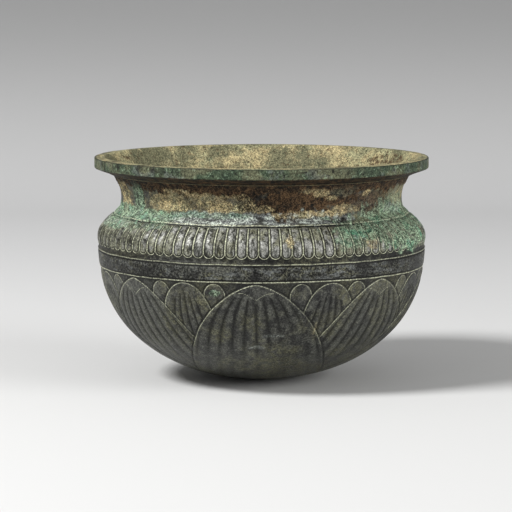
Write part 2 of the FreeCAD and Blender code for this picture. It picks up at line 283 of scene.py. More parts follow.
class Petal(NamedTuple):
    """Leaf shape at an angle round the bowl."""
    angle: float
    rank: str
    half_width: float
    arch: float
    fullness: float
    level: float
    inner_drop: float

    def edge(self, across, drop):
        """Rough distance from the outline, negative inside it."""
        side = np.abs(across) / self.half_width
        rise = np.clip(1.0 - drop / self.arch, 0.0, None)
        value = side ** self.fullness + rise ** 2 - 1.0
        slope_across = self.fullness / self.half_width * side ** (self.fullness - 1.0)
        slope_down = 2.0 / self.arch * rise
        return value / np.sqrt(slope_across ** 2 + slope_down ** 2 + 1e-4)


def petals():
    """All petals from the rearmost rank to the foremost."""
    small, middle, large = [], [], []
    for index, angle in enumerate(LARGE_ANGLES):
        gap = (LARGE_ANGLES[(index + 1) % len(LARGE_ANGLES)] - angle) % FULL_TURN
        for place in SMALL_ANGLES.get(angle, [angle + gap * part for part in SMALL_SHARES]):
            small.append(Petal(place, *SMALL_PETAL))
        middle.append(Petal(MIDDLE_ANGLES.get(angle, angle + gap * MIDDLE_SHARE), *MIDDLE_PETAL))
        large.append(Petal(angle, *(HIGH_LARGE_PETAL if index % 2 else LOW_LARGE_PETAL)))
    large.sort(key=lambda petal: petal.half_width)
    return small + middle + large


RIB_SPACING = 5.7
RIB_SPREAD = 10.5
RIB_SHARES = {"middle": 0.72, "large": 1.0}
BRACKET_RISE = 3.3
BRACKET_HALF_WIDTH = 7.0
# Heights between which the chasing fades, and how much higher on the right of the front petal
WORN_HEIGHTS = (14.0, 25.0)
WORN_SIDE_RISE = 13.0
PETAL_LINE_DEPTH = 0.14
PETAL_LIP_RISE = 0.1
SHADOW_DEPTH = 0.12
PILLOW_DROP = 0.2
PILLOW_WIDTH = 0.8


def rib_valleys(petal, across, drop):
    """1 in the valleys that fan out below a petal's inner arch."""
    if petal.rank not in RIB_SHARES:
        return np.zeros_like(across)
    spacing = RIB_SHARES[petal.rank] * (RIB_SPACING * (1.0 - np.exp(-(drop + 2.0) / RIB_SPREAD)))
    phase = across / spacing
    off_valley = np.abs(phase - np.round(phase))
    return stroke(off_valley, 0.19) - 0.35 * stroke(off_valley - 0.5, 0.22)


def inner_arch(petal, across):
    """Drop below the tip of the line inside a petal, with a dip in the middle of a large one."""
    if petal.rank != "large":
        return petal.inner_drop + 0.09 * across ** 2
    off_middle = np.clip(np.abs(across) / BRACKET_HALF_WIDTH, 0.0, 1.75)
    return petal.inner_drop - BRACKET_RISE * np.sin(np.pi / 2.0 * off_middle)


def calyx(angle, height, radius, tip, points, rib_depth, ground):
    """Height of the surface and its masks where the petals are chased."""
    surface = np.full_like(height, -ground)
    line, worn = np.zeros_like(height), np.zeros_like(height)
    hollow = np.full_like(height, 0.5)
    wobble = 0.22 * layered(points, 9.0, 71)
    drop = tip - height
    side = turned(angle, 0.0)
    rubbed_flat = WORN_SIDE_RISE * smooth(2.0, 8.0, side) * smooth(21.0, 16.0, side)
    fade = smooth(*WORN_HEIGHTS, height - rubbed_flat + 2.0 * layered(points, 14.0, 72))
    for petal in petals():
        turn = turned(angle, petal.angle)
        reach = 16.0 + math.degrees(petal.half_width / 40.0)
        spot = np.nonzero((np.abs(turn) < reach) & (drop > -2.5))
        across, down = np.radians(turn[spot]) * radius[spot], drop[spot]
        edge = petal.edge(across, down) + wobble[spot]
        inside = smooth(0.18, -0.18, edge)
        below_arch = (down - inner_arch(petal, across)) / 1.25
        valley = rib_valleys(petal, across, down) * smooth(0.3, 2.2, below_arch)
        valley = valley * smooth(-0.9, -2.0, edge) * (0.25 + 0.75 * fade[spot])
        line_here = stroke(edge + 0.3, 0.3)
        if petal.rank == "large":
            on_arch = stroke(below_arch, 0.26) * smooth(-0.7, -1.4, edge)
            line_here = np.maximum(line_here, 0.95 * on_arch)
        line_here *= 0.35 + 0.65 * fade[spot]
        crown = petal.level - PILLOW_DROP * np.exp(edge / PILLOW_WIDTH) - rib_depth * valley
        crown = crown - PETAL_LINE_DEPTH * line_here + PETAL_LIP_RISE * stroke(edge + 0.95, 0.4)
        # shadow: a narrow band just outside the outline, sunk a little and painted dark in the hollow
        # mask as the petal's shadow
        shadow = stroke(edge - 0.4, 0.45) * (edge > -0.2)
        darkening = np.maximum(hollow[spot], 0.95 * shadow)
        surface[spot] = between(surface[spot] - SHADOW_DEPTH * shadow, crown, inside)
        hollow[spot] = between(darkening, 0.8 * np.clip(valley, 0.0, 1.0), inside)
        line[spot] = np.maximum(between(line[spot], 0.0, inside), line_here)
        worn[spot] = between(worn[spot], np.clip(-valley, 0.0, 1.0), inside)
    return surface, {"line": line, "hollow": hollow, "worn": worn}


def tongue_ring(angle, height, outline, tongue_count):
    """Height of the surface and its masks where the tongues are chased."""
    end_middle = outline.upper_line + TONGUE_FOOT + TONGUE_END_HEIGHT
    pitch = FULL_TURN / tongue_count
    across = 2.0 * np.abs(((angle - TONGUE_PHASE) / pitch + 0.5) % 1.0 - 0.5)
    below = np.clip(end_middle - height, 0.0, None) / TONGUE_END_HEIGHT
    rim = np.hypot(across, below)
    top = smooth(outline.tongue_top - 0.3, outline.tongue_top - 1.1, height)
    lobe = np.clip(1.0 - (rim / LOBE_EDGE) ** 2, 0.0, None) * top
    inner = stroke(rim - INNER_GROOVE, 0.09)
    ridge = stroke(rim - OUTLINE_RIDGE, 0.08)
    outside = smooth(1.04, 1.2, rim)
    surface = TONGUE_FLOOR + LOBE_RISE * np.sqrt(lobe) - GROOVE_DEPTH * inner
    surface = surface + RIDGE_RISE * ridge - GAP_DEPTH * outside
    tongue = np.floor((angle - TONGUE_PHASE) / pitch + 0.5).astype(int) % tongue_count
    dust = np.random.default_rng(7).uniform(0.0, 1.0, tongue_count)[tongue]
    return surface, {"tongue": np.minimum(rim, OUTSIDE_TONGUE), "dusty": dust}


def outside_relief(angle, height, radius, points, outline, sizes):
    """Height of the outside above the outermost skin, and masks for its finish."""
    tip = outline.lower_line - PETAL_TIP_DROP
    surface, masks = calyx(angle, height, radius, tip, points, sizes.rib_depth / MM, sizes.relief / MM)
    tongues, tongue_masks = tongue_ring(angle, height, outline, sizes.tongue_count)
    in_calyx = smooth(outline.lower_line - 0.5, outline.lower_line - 1.0, height)
    in_tongues = smooth(outline.upper_line + 0.8, outline.upper_line + 1.3, height) \
        * smooth(outline.tongue_top + 0.1, outline.tongue_top - 0.35, height)
    surface = surface * in_calyx + tongues * in_tongues
    masks = {name: values * in_calyx for name, values in masks.items()}
    masks["tongue"] = between(OUTSIDE_TONGUE, tongue_masks["tongue"], in_tongues)
    masks["dusty"] = tongue_masks["dusty"]
    for line_height in (outline.upper_line, outline.lower_line, outline.tongue_top):
        surface = surface - LINE_DEPTH * stroke(height - line_height, LINE_WIDTH)
    return surface, masks


# Patina: patches of corrosion and earth at places on the outside

# Each patch: angle, height, half angle, half height, strength
PATCHES = {
    "earth": [
        (-19, 82.1, 21, 2.6, 1), (-22, 85.2, 18, 2.6, 0.6), (-44, 82.5, 8, 3.6, 0.7),
        (-70, 83, 9, 7, 1), (-34, 88.3, 5, 1.4, 0.7), (20, 79.2, 14, 1.7, 0.75),
        (17, 89.4, 3.6, 1.3, 0.6), (24.5, 88.4, 4.2, 1.7, 0.6), (28.5, 86, 2.8, 1.1, 0.5),
        (35, 81, 6, 2, 0.5), (41, 68, 2.6, 3.2, 0.7), (9.6, 68.6, 1.3, 2.6, 0.9),
        (45, 87.2, 2.4, 1.5, 0.6), (74, 84, 8, 5, 0.5), (20.6, 30.5, 0.6, 3, 0.2),
    ],
    "brown": [
        (0, 93, 400, 6, 1), (-10, 90.5, 44, 4.4, 1), (18, 86.5, 22, 8, 1), (47, 84, 12, 5, 0.7),
        (-38, 82.5, 7, 2.6, 0.5),
    ],
    "green": [
        (-57, 84, 4.2, 8, 0.9), (-76, 76.8, 26, 3.8, 0.95), (-68, 72.6, 20, 2.8, 0.6),
        (-44, 73.6, 12, 1.6, 0.4), (-48, 77.2, 18, 2.7, 0.85), (-24, 78.8, 20, 1.2, 0.5),
        (38, 72.4, 13, 4, 1), (32.5, 68.4, 7, 5, 0.6), (64, 66.5, 18, 5.5, 1), (66, 75, 30, 8, 0.8),
        (33, 89, 6, 3, 0.35), (68, 82, 12, 4, 0.5), (-16.2, 46.4, 2, 1.4, 0.6),
    ],
    "pale": [
        (12, 77.6, 24, 3.2, 1), (-20, 77.4, 20, 2.8, 0.8), (-38, 76.4, 20, 1.5, 0.5),
        (67, 79, 9, 2.6, 0.7), (-76, 75, 24, 4, 0.5), (-2, 21.5, 4, 0.9, 0.4), (5, 27, 5, 0.8, 0.35),
    ],
    "olive": [
        (62, 74, 26, 8, 1), (68, 86, 18, 9, 1), (-38, 83.5, 10, 4.6, 0.9), (-60, 66, 30, 7, 0.6),
    ],
    "dark": [
        (-2, 85, 8, 4.4, 1), (8, 82.5, 5, 2, 0.8), (-56, 67, 12, 3.4, 0.9), (-74, 65, 14, 4, 0.8),
        (-57, 90.5, 8, 3, 0.8), (28, 75.8, 8, 1.4, 0.8), (-20, 77, 10, 0.9, 0.6), (-54, 55.1, 30, 5, 1),
        (50, 55.1, 26, 5, 0.6), (13, 25, 10, 17, 0.42),
    ],
    "rubbed": [
        (-26, 66, 21, 12, 1), (-54, 34, 24, 17, 1), (50, 34, 20, 16, 0.5),
    ],
}
PATCH_TURNS = (0.0, 127.0, 236.0)
INSIDE_PATCHES = {
    "earth": [
        (178, 90, 24, 9, 0.9), (150, 95, 10, 6, 0.7), (128, 88, 8, 8, 0.6), (214, 92, 8, 5, 0.5),
        (20, 60, 60, 20, 0.6),
    ],
    "green": [
        (228, 92, 17, 9, 0.9), (262, 90, 14, 9, 0.6), (164, 92, 12, 8, 0.8), (195, 97, 8, 2.4, 0.6),
        (110, 50, 70, 22, 0.7),
    ],
    "brown": [
        (118, 94, 12, 5, 0.8), (140, 91, 6, 4, 0.5), (243, 95, 8, 4, 0.6), (200, 20, 360, 14, 0.6),
    ],
}


def grown_patches(angle, height, points, tables, turns):
    """Masks of the tables of patches, repeated at each turn, with ragged edges."""
    fields = [layered(points, size, seed) for size, seed in ((8.0, 20), (7.0, 30), (2.2, 40), (1.9, 50))]
    masks = {}
    for index, (name, table) in enumerate(tables.items()):
        mix = [weight * wave(index) for weight in (0.55, 0.5) for wave in (math.cos, math.sin)]
        ragged = sum(part * field for part, field in zip(mix, fields))
        mask = np.zeros_like(height)
        for turn in turns:
            shown = smooth(88.0, 100.0, np.abs(turned(angle, 0.0))) if turn else 1.0
            for middle, level, half_angle, half_height, strength in table:
                across = turned(angle, middle + turn) / half_angle
                away = np.hypot(across, (height - level) / half_height) + 1.1 * ragged
                mask = np.maximum(mask, shown * strength * smooth(1.12, 0.8, away))
        masks[name] = mask
    return masks


def new_object(name, data):
    thing = bpy.data.objects.new(name, data)
    bpy.context.scene.collection.objects.link(thing)
    return thing


# Meshes made of rings

TOP_CLEARANCE = 0.02
# Breadth of the lip's top on the map for baking
LIP_GAP = 2.0


class RingMesh:
    """Collects rings of points from one end of a closed skin to the other."""

    def __init__(self):
        self.rings = []
        self.masks = []
        self.travel = []
        self.corners = {3: [], 4: []}
        self.places = {3: [], 4: []}

    def add(self, points, masks, travel):
        """points is rows by columns by 3; each next row lies further along the skin."""
        for row in range(len(points)):
            self.rings.append(points[row])
            self.masks.append({name: values[row] for name, values in masks.items()})
            self.travel.append(float(travel[row]))

    def add_stretch(self, profile, distance, columns, lift_of, top, last):
        """Adds the rings of a profile, lifted off it, and returns how far along the skin it ends."""
        travel = distance + travel_of(profile)
        normals = outward(profile)
        rows = slice(None) if last else slice(-1)
        profile, normals, steps = profile[rows], normals[rows], travel[rows]
        angle, height, radius, points = grid(profile, columns)
        lift, masks = lift_of(angle, height, radius, points)
        raised = np.minimum(height + lift * normals[:, 1:], top - TOP_CLEARANCE)
        self.add(on_axis(radius + lift * normals[:, :1], angle, raised), masks, steps)
        return travel[-1]

    def join(self):
        """Faces between each ring and the next, which has as many points, half or twice as many."""
        starts = np.concatenate([[0], np.cumsum([len(ring) for ring in self.rings])]).astype(np.int64)
        span = self.travel[-1] - self.travel[0]
        along = [0.05 + 0.9 * (travel - self.travel[0]) / span for travel in self.travel]
        for index in range(len(self.rings) - 1):
            near, far = len(self.rings[index]), len(self.rings[index + 1])
            step = np.arange(min(near, far))
            # each corner: 0 in this ring or 1 in the next one, and its place there
            if near == far:
                shapes = [[(0, step), (0, step + 1), (1, step + 1), (1, step)]]
            else:
                wide, narrow = (0, 1) if near > far else (1, 0)
                shapes = [[(wide, 2 * step), (wide, 2 * step + 1), (narrow, step)],
                          [(wide, 2 * step + 1), (narrow, step + 1), (narrow, step)],
                          [(wide, 2 * step + 1), (wide, 2 * step + 2), (narrow, step + 1)]]
            if near < far:
                shapes = [shape[::-1] for shape in shapes]
            for shape in shapes:
                sides = [(index + side, (near, far)[side], place) for side, place in shape]
                corners = [starts[ring] + place % count for ring, count, place in sides]
                places = [np.stack([place / count, np.full(len(place), along[ring])], axis=1)
                          for ring, count, place in sides]
                self.corners[len(shape)].append(np.stack(corners, axis=1))
                self.places[len(shape)].append(np.stack(places, axis=1))
        return starts

    def build(self, name):
        """Mesh object with smooth faces, a map for baking and the masks as attributes."""
        starts = self.join()
        vertices = np.concatenate(self.rings) * MM
        loops, spots, first = [], [], []
        total = 0
        for corners in (4, 3):
            if self.corners[corners]:
                faces = np.concatenate(self.corners[corners])
                loops.append(faces.ravel())
                spots.append(np.concatenate(self.places[corners]).reshape(-1, 2))
                first.append(total + corners * np.arange(len(faces)))
                total += corners * len(faces)
        for ring, forwards, middle in ((0, False, 0.02), (len(self.rings) - 1, True, 0.98)):
            count = len(self.rings[ring])
            order = np.arange(count) if forwards else np.arange(count)[::-1]
            turn = 2.0 * np.pi * order / count
            loops.append(starts[ring] + order)
            spots.append(np.stack([0.5 + 0.018 * np.cos(turn), middle + 0.018 * np.sin(turn)], axis=1))
            first.append(np.array([total]))
            total += count
        mesh = bpy.data.meshes.new(name)
        mesh.vertices.add(len(vertices))
        mesh.vertices.foreach_set("co", vertices.astype(np.float32).ravel())
        mesh.loops.add(total)
        mesh.loops.foreach_set("vertex_index", np.concatenate(loops).astype(np.int32))
        starts_of_faces = np.concatenate(first).astype(np.int32)
        mesh.polygons.add(len(starts_of_faces))
        mesh.polygons.foreach_set("loop_start", starts_of_faces)
        mesh.update(calc_edges=True)
        layer = mesh.uv_layers.new(name="OFBake")
        layer.uv.foreach_set("vector", np.concatenate(spots).astype(np.float32).ravel())
        for mask in self.masks[0]:
            values = np.concatenate([masks[mask] for masks in self.masks]).astype(np.float32)
            mesh.attributes.new(mask, "FLOAT", "POINT").data.foreach_set("value", values)
        mesh.shade_smooth()
        return new_object(name, mesh)


def grid(profile, columns):
    """Angles, heights, radii and points of rings through a profile of (radius, height)."""
    angles = TONGUE_PHASE + FULL_TURN * np.arange(columns) / columns
    angle, radius = np.meshgrid(angles, profile[:, 0])
    height = np.repeat(profile[:, 1:], columns, axis=1)
    return angle, height, radius, on_axis(radius, angle, height)


def on_axis(radius, angle, height):
    """Points at an angle in degrees from the front, turning towards +X."""
    turn = np.radians(angle)
    return np.stack([radius * np.sin(turn), -radius * np.cos(turn), height], axis=-1)


def outward(profile):
    """Unit normals (radius, height) on the left of a profile's direction of travel."""
    step = np.gradient(profile, axis=0)
    step /= np.maximum(np.linalg.norm(step, axis=1, keepdims=True), 1e-9)
    return np.stack([step[:, 1], -step[:, 0]], axis=1)


def travel_of(profile):
    """How far along a profile each of its points lies."""
    return np.concatenate([[0.0], np.cumsum(np.linalg.norm(np.diff(profile, axis=0), axis=1))])


# Node helpers

# Kinds of noise: size of the bumps in millimetres, detail, roughness and squash
BROAD = (16.0, 5.0)
MIDDLE = (4.0, 6.0, 0.65)
FINE = (0.9, 4.0, 0.7)
STREAKS = (2.4, 8.0, 0.75)
SPECK = (0.45, 3.0, 0.7)
LYING = (5.0, 8.0, 0.7, 3.0)
UPRIGHT = (1.6, 8.0, 0.7, 0.3)


class Finish:
    """A material whose nodes are added one after another."""

    def __init__(self, name):
        self.material = bpy.data.materials.new(name)
        self.material.use_nodes = True
        self.tree = self.material.node_tree
        self.tree.nodes.clear()
        self.shader = self.add("ShaderNodeBsdfPrincipled")
        output = self.add("ShaderNodeOutputMaterial")
        self.tree.links.new(self.shader.outputs["BSDF"], output.inputs["Surface"])
        self.place = self.add("ShaderNodeTexCoord").outputs["Object"]
        self.shader.inputs["Specular IOR Level"].default_value = 0.22

    def add(self, kind, inputs=None, **choices):
        node = self.tree.nodes.new(kind)
        for choice, value in choices.items():
            setattr(node, choice, value)
        for socket, value in (inputs or {}).items():
            if isinstance(value, bpy.types.NodeSocket):
                self.tree.links.new(value, node.inputs[socket])
            else:
                node.inputs[socket].default_value = value
        return node

    def mask(self, name):
        return self.add("ShaderNodeAttribute", attribute_name=name).outputs["Fac"]

    def noise(self, size, detail=4.0, roughness=0.55, squash=1.0):
        """Random values with bumps about as wide as size, in millimetres, and squash times flatter."""
        inputs = {0: self.place, 1: (1.0, 1.0, squash)}
        place = self.add("ShaderNodeVectorMath", inputs, operation="MULTIPLY").outputs[0]
        inputs = {"Vector": place, "Scale": 1.0 / (size * MM), "Detail": detail, "Roughness": roughness}
        return self.add("ShaderNodeTexNoise", inputs).outputs[0]

    def clouds(self, kind, low, high, start=0.0, end=1.0):
        """A ramp over noise of some kind."""
        return self.ramp(self.noise(*kind), low, high, start, end)

    def ramp(self, value, low, high, start=0.0, end=1.0):
        """From start to end, smoothly, as value goes from low to high."""
        inputs = {"Value": value, "From Min": low, "From Max": high, "To Min": start, "To Max": end}
        return self.add("ShaderNodeMapRange", inputs, interpolation_type="SMOOTHSTEP").outputs[0]

    def math(self, operation, *values):
        result = values[0]
        for value in values[1:]:
            result = self.add("ShaderNodeMath", {0: result, 1: value}, operation=operation).outputs[0]
        return result

    def product(self, *values):
        return self.math("MULTIPLY", *values)

    def plus(self, *values):
        return self.math("ADD", *values)

    def minus(self, *values):
        return self.math("SUBTRACT", *values)

    def most(self, *values):
        return self.math("MAXIMUM", *values)

    def without(self, value):
        """1 where value is 0, and 0 where it is 1."""
        return self.minus(1.0, value)

    def blend(self, factor, first, second, mode="MIX"):
        """Second laid over first where factor is 1; a tint gets its fourth value here."""
        pair = [value if isinstance(value, bpy.types.NodeSocket) else [*value, 1.0]
                for value in (first, second)]
        inputs = {0: factor, 6: pair[0], 7: pair[1]}
        return self.add("ShaderNodeMix", inputs, data_type="RGBA", blend_type=mode).outputs[2]

    def layers(self, colour, *coats):
        """Colour with each coat, a mask and a tint, laid over what lies below it."""
        for mask, tint_over in coats:
            colour = self.blend(mask, colour, tint_over)
        return colour

    def height(self):
        """Height above the floor in millimetres."""
        return self.math("DIVIDE", self.add("ShaderNodeSeparateXYZ", {0: self.place}).outputs["Z"], MM)

    def peak(self, value, middle, half_width, soft):
        """1 where value is within half_width of middle."""
        off = self.add("ShaderNodeMath", {0: self.minus(value, middle)}, operation="ABSOLUTE").outputs[0]
        return self.ramp(off, half_width + soft, half_width - soft)

    def bump(self, height, distance, strength=1.0, under=None):
        inputs = {"Height": height, "Distance": distance * MM, "Strength": strength}
        if under is not None:
            inputs["Normal"] = under
        return self.add("ShaderNodeBump", inputs).outputs["Normal"]

    def finish(self, colour, roughness, metal, normal):
        sockets = {"Base Color": colour, "Roughness": roughness, "Metallic": metal, "Normal": normal}
        for socket, value in sockets.items():
            self.tree.links.new(value, self.shader.inputs[socket])
        return self.material


def inside_crust(finish, tints):
    """Colour of the olive crust that lines the bowl and lies on its rim."""
    tan = finish.plus(finish.noise(8.0, 8.0, 0.7), finish.product(finish.mask("earth"), 0.14))
    film = finish.plus(finish.noise(13.0, 8.0, 0.7), finish.product(finish.mask("green"), 0.14))
    darkening = finish.minus(finish.noise(*STREAKS), finish.product(finish.mask("brown"), 0.12))
    return finish.layers(
        tints.inside_olive,
        (finish.ramp(tan, 0.42, 0.64, 0.0, 0.75), tints.earth),
        (finish.ramp(film, 0.44, 0.64, 0.0, 0.95), tints.olive_film),
        (finish.clouds((3.0, 8.0, 0.75), 0.54, 0.64, 0.0, 0.6), tints.deep_green),
        (finish.ramp(darkening, 0.45, 0.36, 0.0, 0.9), tints.brown_earth))


def shade_under_rim(finish, tints):
    """Colour of the painted shade under the rim: near black, broken up with brown earth."""
    return finish.blend(finish.clouds((2.6, 8.0, 0.75), 0.44, 0.60), tints.hollow, tints.brown_earth)


def chased_lines(finish, outline):
    """Pale and dark masks of the tongues' outlines and of the lines round the body; the dark masks are
    painted shade in the grooves beside the pale lines.
    """
    tongue = finish.mask("tongue")
    breaks = finish.clouds((1.6, 4.0, 0.6), 0.36, 0.52, 0.35, 1.0)
    pale = finish.product(finish.peak(tongue, OUTLINE_RIDGE, 0.05, 0.04), breaks)
    gap = finish.product(finish.peak(tongue, 1.0, 0.01, 0.03), finish.clouds((5.0, 3.0), 0.45, 0.55))
    dark = finish.most(finish.peak(tongue, INNER_GROOVE, 0.07, 0.05), gap)
    height = finish.plus(finish.height(), finish.clouds((12.0, 2.0), 0.3, 0.7, -0.12, 0.12))
    lines = [(outline.upper_line, 1.0), (outline.lower_line, -1.0), (outline.tongue_top, 1.0)]
    for level, pale_side in lines:
        ridge = finish.peak(height, level + 0.34 * pale_side, 0.16, 0.1)
        pale = finish.most(pale, finish.product(ridge, breaks))
        dark = finish.most(dark, finish.peak(height, level - 0.36 * pale_side, 0.32, 0.1))
    return pale, dark


def tongue_coat(finish, tints):
    """Colour of the tongues, rubbed bright on some and dusty on others, and where the dust lies."""
    patchy = finish.clouds((7.0, 6.0), 0.35, 0.65, -0.3, 0.8)
    dust = finish.plus(finish.product(finish.mask("dusty"), 0.5), patchy)
    dust = finish.plus(finish.ramp(dust, 0.15, 0.95), finish.product(finish.mask("olive"), 0.8))
    dust = finish.ramp(finish.minus(dust, finish.product(finish.mask("rubbed"), 0.35)), 0.0, 1.0)
    upright = finish.noise(*UPRIGHT)
    light = finish.ramp(upright, 0.40, 0.58)
    rubbed = finish.blend(light, tints.grey_bronze, tints.bright_bronze)
    dusty = finish.blend(light, tints.olive_film, tints.tongue_dust)
    darkening = finish.ramp(upright, 0.49, 0.38, 0.0, 0.85)
    return finish.layers(rubbed, (finish.product(dust, 0.85), dusty), (darkening, tints.hollow)), dust


def body_finish(tints, sizes):
    """Patinated bronze of the body, inside and out."""
    outline = Outline(sizes)
    finish = Finish("body_patina")
    mask, ramp, clouds, product = finish.mask, finish.ramp, finish.clouds, finish.product
    broad, middle, fine, streaks, speck, lying = (
        finish.noise(*kind) for kind in (BROAD, MIDDLE, FINE, STREAKS, SPECK, LYING))
    height, tongue, inner = finish.height(), mask("tongue"), mask("inside")

    # plain skin, band and tongues
    film = product(ramp(broad, 0.42, 0.60), ramp(streaks, 0.40, 0.58, 0.0, 0.7))
    film = finish.most(film, product(mask("olive"), ramp(streaks, 0.3, 0.5)))
    band = finish.peak(height, (outline.upper_line + outline.lower_line) / 2.0,
                       (outline.upper_line - outline.lower_line) / 2.0, 0.1)
    band_film = product(band, ramp(lying, 0.46, 0.60), ramp(broad, 0.40, 0.56), 0.8)
    ground = finish.peak(height, outline.upper_line + 2.2, 1.6, 0.4)
    on_ring = finish.most(ramp(tongue, 1.5, 1.2), ground)
    lobe = ramp(tongue, LOBE_EDGE + 0.04, LOBE_EDGE - 0.08)
    lobe_colour, dust = tongue_coat(finish, tints)

    # films and green corrosion
    pale = product(mask("pale"), ramp(fine, 0.34, 0.54, 0.45, 1.0))
    pales = finish.blend(ramp(lying, 0.42, 0.54), tints.blue_grey, tints.pale_film)
    green = product(mask("green"), ramp(streaks, 0.34, 0.52, 0.25, 1.0))
    greens = finish.layers(
        tints.deep_green,
        (clouds((2.0, 8.0, 0.8), 0.42, 0.55), tints.verdigris),
        (clouds((6.0, 8.0, 0.75), 0.50, 0.60, 0.0, 0.6), tints.turquoise),
        (clouds((3.0, 8.0, 0.8), 0.56, 0.66, 0.0, 0.7), tints.pale_film))

    # chased lines and valleys, partly buried by the corrosion; the dark beside the pale lines is painted
    # shade in their grooves
    pale_line, dark_line = chased_lines(finish, outline)
    # valleys: the hollow mask, darker on the sunk ground and in the rib valleys, with the painted shadow
    # beside each petal
    valleys = product(mask("hollow"), ramp(middle, 0.34, 0.56, 0.55, 1.1))
    petal_line = product(ramp(mask("line"), 0.58, 0.96), ramp(streaks, 0.36, 0.54, 0.3, 0.9))
    shown = finish.without(product(mask("green"), 0.55))
    dark_line = product(finish.most(dark_line, valleys), 0.97, shown)
    pale_line = product(finish.most(pale_line, petal_line), shown)

    # earth on the neck, brown earth and dirt under the lip and in the dark patches, and the painted
    # shade of the rim
    bare = finish.without(product(mask("green"), 0.85))
    brown = product(mask("brown"), bare)
    earth = product(mask("earth"), bare, clouds((6.5, 10.0, 0.8), 0.40, 0.52, 0.2, 1.0))
    soil = finish.most(brown, earth)
    browns = finish.blend(ramp(streaks, 0.36, 0.56, 0.25, 1.0), tints.hollow, tints.brown_earth)
    ochre = product(earth, clouds((3.0, 10.0, 0.85), 0.36, 0.50, 0.2, 1.0))
    ochres = finish.layers(
        tints.earth,
        (clouds((5.0, 8.0, 0.7), 0.46, 0.60, 0.0, 0.7), tints.inside_olive),
        (clouds((1.4, 6.0, 0.8), 0.54, 0.66, 0.0, 0.9), tints.line_fill))
    # painted shade: the rim's shadow on the top of the neck, darkest at the rim's foot
    rim_shadow = ramp(height, outline.rim_foot - 4.0, outline.rim_foot - 0.5, 0.0, 0.9)
    off_lines = finish.without(product(pale_line, 0.8))
    dark = product(mask("dark"), ramp(fine, 0.62, 0.40, 0.3, 0.95), off_lines, 0.85)

    colour = finish.layers(
        tints.dark_bronze,
        (ramp(middle, 0.40, 0.62, 0.0, 0.75), tints.grey_bronze),
        # painted light: the lower body turns lighter grey towards the floor, making up for the dimmer
        # light there
        (ramp(height, 30.0, 5.0, 0.0, 0.45), tints.grey_bronze),
        (film, tints.olive_film),
        (product(band, ramp(fine, 0.58, 0.42, 0.1, 1.0)), tints.hollow),
        (band_film, tints.blue_grey),
        (product(mask("rubbed"), ramp(streaks, 0.36, 0.6, 0.2, 0.8)), tints.grey_bronze),
        (product(mask("worn"), 0.6), tints.grey_bronze),
        (product(on_ring, ramp(streaks, 0.62, 0.45, 0.3, 0.85)), tints.hollow),
        (product(lobe, 0.92), lobe_colour),
        (pale, pales),
        (green, greens),
        # painted shade in the grooves beside the pale lines, with the darker valleys and sunk ground
        (dark_line, tints.hollow),
        (pale_line, tints.line_fill),
        (brown, browns),
        (ochre, ochres),
        (product(soil, ramp(streaks, 0.44, 0.36, 0.0, 0.9)), tints.hollow),
        # painted shadow of the rim on the neck
        (rim_shadow, shade_under_rim(finish, tints)),
        (dark, tints.hollow),
        (inner, inside_crust(finish, tints)))

    # grain, stronger on the crusts
    dull = finish.most(soil, inner, green, pale)
    grain_strength = finish.minus(ramp(dull, 0.0, 1.0, 0.55, 1.0), product(inner, 0.35))
    grains = product(ramp(fine, 0.38, 0.62, 0.42, 1.65), ramp(speck, 0.38, 0.62, 0.5, 1.55))
    grains = finish.plus(1.0, product(grain_strength, finish.minus(grains, 1.0)))
    colour = finish.blend(1.0, colour, grains, "MULTIPLY")

    shine = product(lobe, finish.without(dust), finish.without(dull))
    roughness = finish.plus(ramp(middle, 0.3, 0.7, 0.44, 0.56), product(dull, 0.34))
    roughness = finish.minus(roughness, product(shine, 0.07))
    metal = product(finish.plus(0.22, product(shine, 0.22)), finish.without(dull))
    coarse = finish.bump(product(finish.noise(1.1, 5.0, 0.65), grain_strength), 0.5, 0.9)
    gritty = finish.bump(product(speck, grain_strength), 0.12, 0.8, coarse)
    return finish.finish(colour, roughness, metal, gritty)


def rim_finish(tints):
    """Grey green skin of the rim ring."""
    finish = Finish("rim_patina")
    mask, ramp, clouds = finish.mask, finish.ramp, finish.clouds
    middle, fine, speck = finish.noise(5.0, 6.0, 0.65), finish.noise(0.8, 4.0, 0.7), finish.noise(*SPECK)
    crumbs = finish.noise(1.6, 8.0, 0.75)
    colour = finish.layers(
        tints.deep_green,
        (ramp(middle, 0.38, 0.58, 0.15, 1.0), tints.rim_green),
        (clouds((13.0, 5.0), 0.46, 0.60, 0.0, 0.7), tints.olive_film),
        (clouds((7.0, 5.0), 0.54, 0.62, 0.0, 0.35), tints.blue_grey),
        (ramp(crumbs, 0.55, 0.64, 0.0, 0.5), tints.verdigris),
        (ramp(crumbs, 0.47, 0.37, 0.0, 0.9), tints.hollow),
        (mask("top"), inside_crust(finish, tints)),
        # the underside of the band is painted dark with the shade under the rim
        (mask("under"), shade_under_rim(finish, tints)),
        (mask("hollow"), tints.hollow))
    grains = finish.product(ramp(fine, 0.36, 0.64, 0.6, 1.45), ramp(speck, 0.36, 0.64, 0.7, 1.35))
    colour = finish.blend(1.0, colour, grains, "MULTIPLY")
    roughness, metal = ramp(middle, 0.3, 0.7, 0.6, 0.8), ramp(middle, 0.3, 0.7, 0.15, 0.05)
    coarse = finish.bump(finish.noise(1.3, 5.0, 0.65), 0.22, 0.8)
    return finish.finish(colour, roughness, metal, finish.bump(speck, 0.08, 0.7, coarse))


